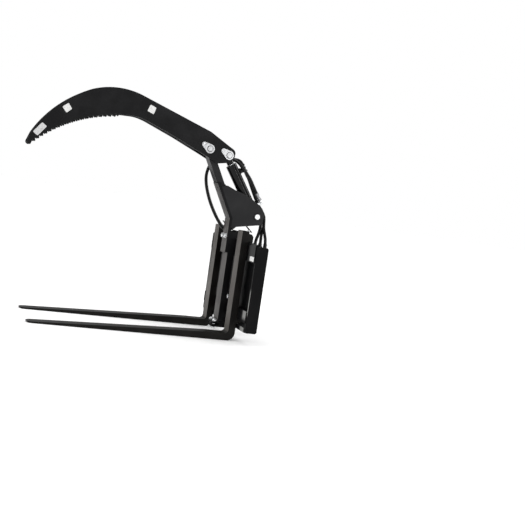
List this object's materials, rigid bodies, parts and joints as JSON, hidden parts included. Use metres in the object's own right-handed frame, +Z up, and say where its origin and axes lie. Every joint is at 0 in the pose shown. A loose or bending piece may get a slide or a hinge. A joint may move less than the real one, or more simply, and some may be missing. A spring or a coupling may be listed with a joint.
{
  "type": "pallet fork grapple",
  "caption": "Pallet forks on a carriage frame with a mast and a toothed hydraulic claw that closes down over the load.",
  "frame": {"origin": "on the ground under the middle of the part's box", "axes": "+Y towards the loader, -Y along the blades towards their tips, +X along the crossbars, +Z up"},
  "size_m": [0.84, 1.4501, 1.2937],
  "materials": {
    "black_paint": "satin",
    "fork_paint": "satin, worn at the heel",
    "zinc": "zinc plated",
    "chrome_rod": "polished",
    "bronze": "machined",
    "hose_rubber": "satin",
    "seal_rubber": "matte",
    "black_plastic": "matte"
  },
  "bodies": {
    "root": {"back_plate": "black_paint", "base_pin_rings": "black_paint", "base_port_hose_lower": "hose_rubber", "bracket_cheeks": "black_paint", "bracket_floor": "black_paint", "claw_pivot_bush": "bronze", "connector_holder": "black_paint", "coupling_foot_bar": "black_paint", "coupling_hook_tubes": "black_paint", "coupling_uprights": "black_paint", "cylinder_base_pin": "zinc", "feed_hose_lower": "hose_rubber", "foot_gussets": "black_paint", "lower_crossbar": "black_paint", "mast_backing_plate": "black_paint", "mast_bolts": "zinc", "mast_clamp_block": "black_paint", "mast_clamp_ears": "black_paint", "mast_foot_plate": "black_paint", "mast_front_strap": "black_paint", "mast_head_boss": "black_paint", "mast_lower_tube": "black_paint", "mast_upper_hook": "black_paint", "mast_upper_tube": "black_paint", "multi_connector": "black_plastic", "rod_port_hose_lower": "hose_rubber", "side_plates": "black_paint", "upper_crossbar": "black_paint"},
    "claw": {"claw_flanges": "black_paint", "claw_pin_rings": "black_paint", "claw_pivot_pin": "zinc", "claw_plate_far": "black_paint", "claw_plate_near": "black_paint", "claw_spacer_tubes": "black_paint", "cylinder_rod_pin": "zinc", "pin_flag_bolts": "zinc"},
    "barrel": {"cylinder_barrel": "black_paint", "cylinder_base_lug": "black_paint", "base_pin_bush": "bronze", "cylinder_gland": "black_paint", "rod_wiper": "seal_rubber", "base_port_elbow": "zinc", "rod_port_tee": "black_paint", "base_hose_union": "zinc", "rod_hose_unions": "black_paint", "rod_port_hose_upper": "hose_rubber", "base_port_hose_upper": "hose_rubber", "feed_hose_upper": "hose_rubber"},
    "rod": {"piston": "chrome_rod", "piston_seal": "seal_rubber", "piston_rod": "chrome_rod", "rod_eye": "black_paint"},
    "near_fork": {"fork_near": "fork_paint", "fork_hooks_near": "fork_paint"},
    "far_fork": {"fork_far": "fork_paint", "fork_hooks_far": "fork_paint"},
    "near_lock": {"fork_lock_pin_near": "zinc", "fork_lock_handle_near": "black_plastic"},
    "far_lock": {"fork_lock_pin_far": "zinc", "fork_lock_handle_far": "black_plastic"}
  },
  "joints": [
    {"name": "claw_pivot", "type": "hinge", "parent": "root", "child": "claw", "pos_m": [0, 0.2758, 1.04743], "axis": [1, 0, 0], "range_deg": [0, 68]},
    {"name": "cylinder_pivot", "type": "hinge", "parent": "root", "child": "barrel", "pos_m": [0, 0.6165, 0.702], "axis": [1, 0, 0], "range_deg": [-2.48, 0]},
    {"name": "rod_slide", "type": "slide", "parent": "barrel", "child": "rod", "axis": [0, -0.5646, 0.8254], "range_m": [0, 0.13218]},
    {"name": "near_fork_slide", "type": "slide", "parent": "root", "child": "near_fork", "axis": [1, 0, 0], "range_m": [-0.09, 0.09]},
    {"name": "near_lock_slide", "type": "slide", "parent": "near_fork", "child": "near_lock", "axis": [0, 0, 1], "range_m": [-0.009, 0]},
    {"name": "far_fork_slide", "type": "slide", "parent": "root", "child": "far_fork", "axis": [1, 0, 0], "range_m": [-0.09, 0.09]},
    {"name": "far_lock_slide", "type": "slide", "parent": "far_fork", "child": "far_lock", "axis": [0, 0, 1], "range_m": [-0.009, 0]}
  ],
  "couplings": [
    {"joint": "cylinder_pivot", "follows": "claw_pivot", "ratio": -0.03613},
    {"joint": "rod_slide", "follows": "claw_pivot", "m_per_rad": 0.1112}
  ]
}
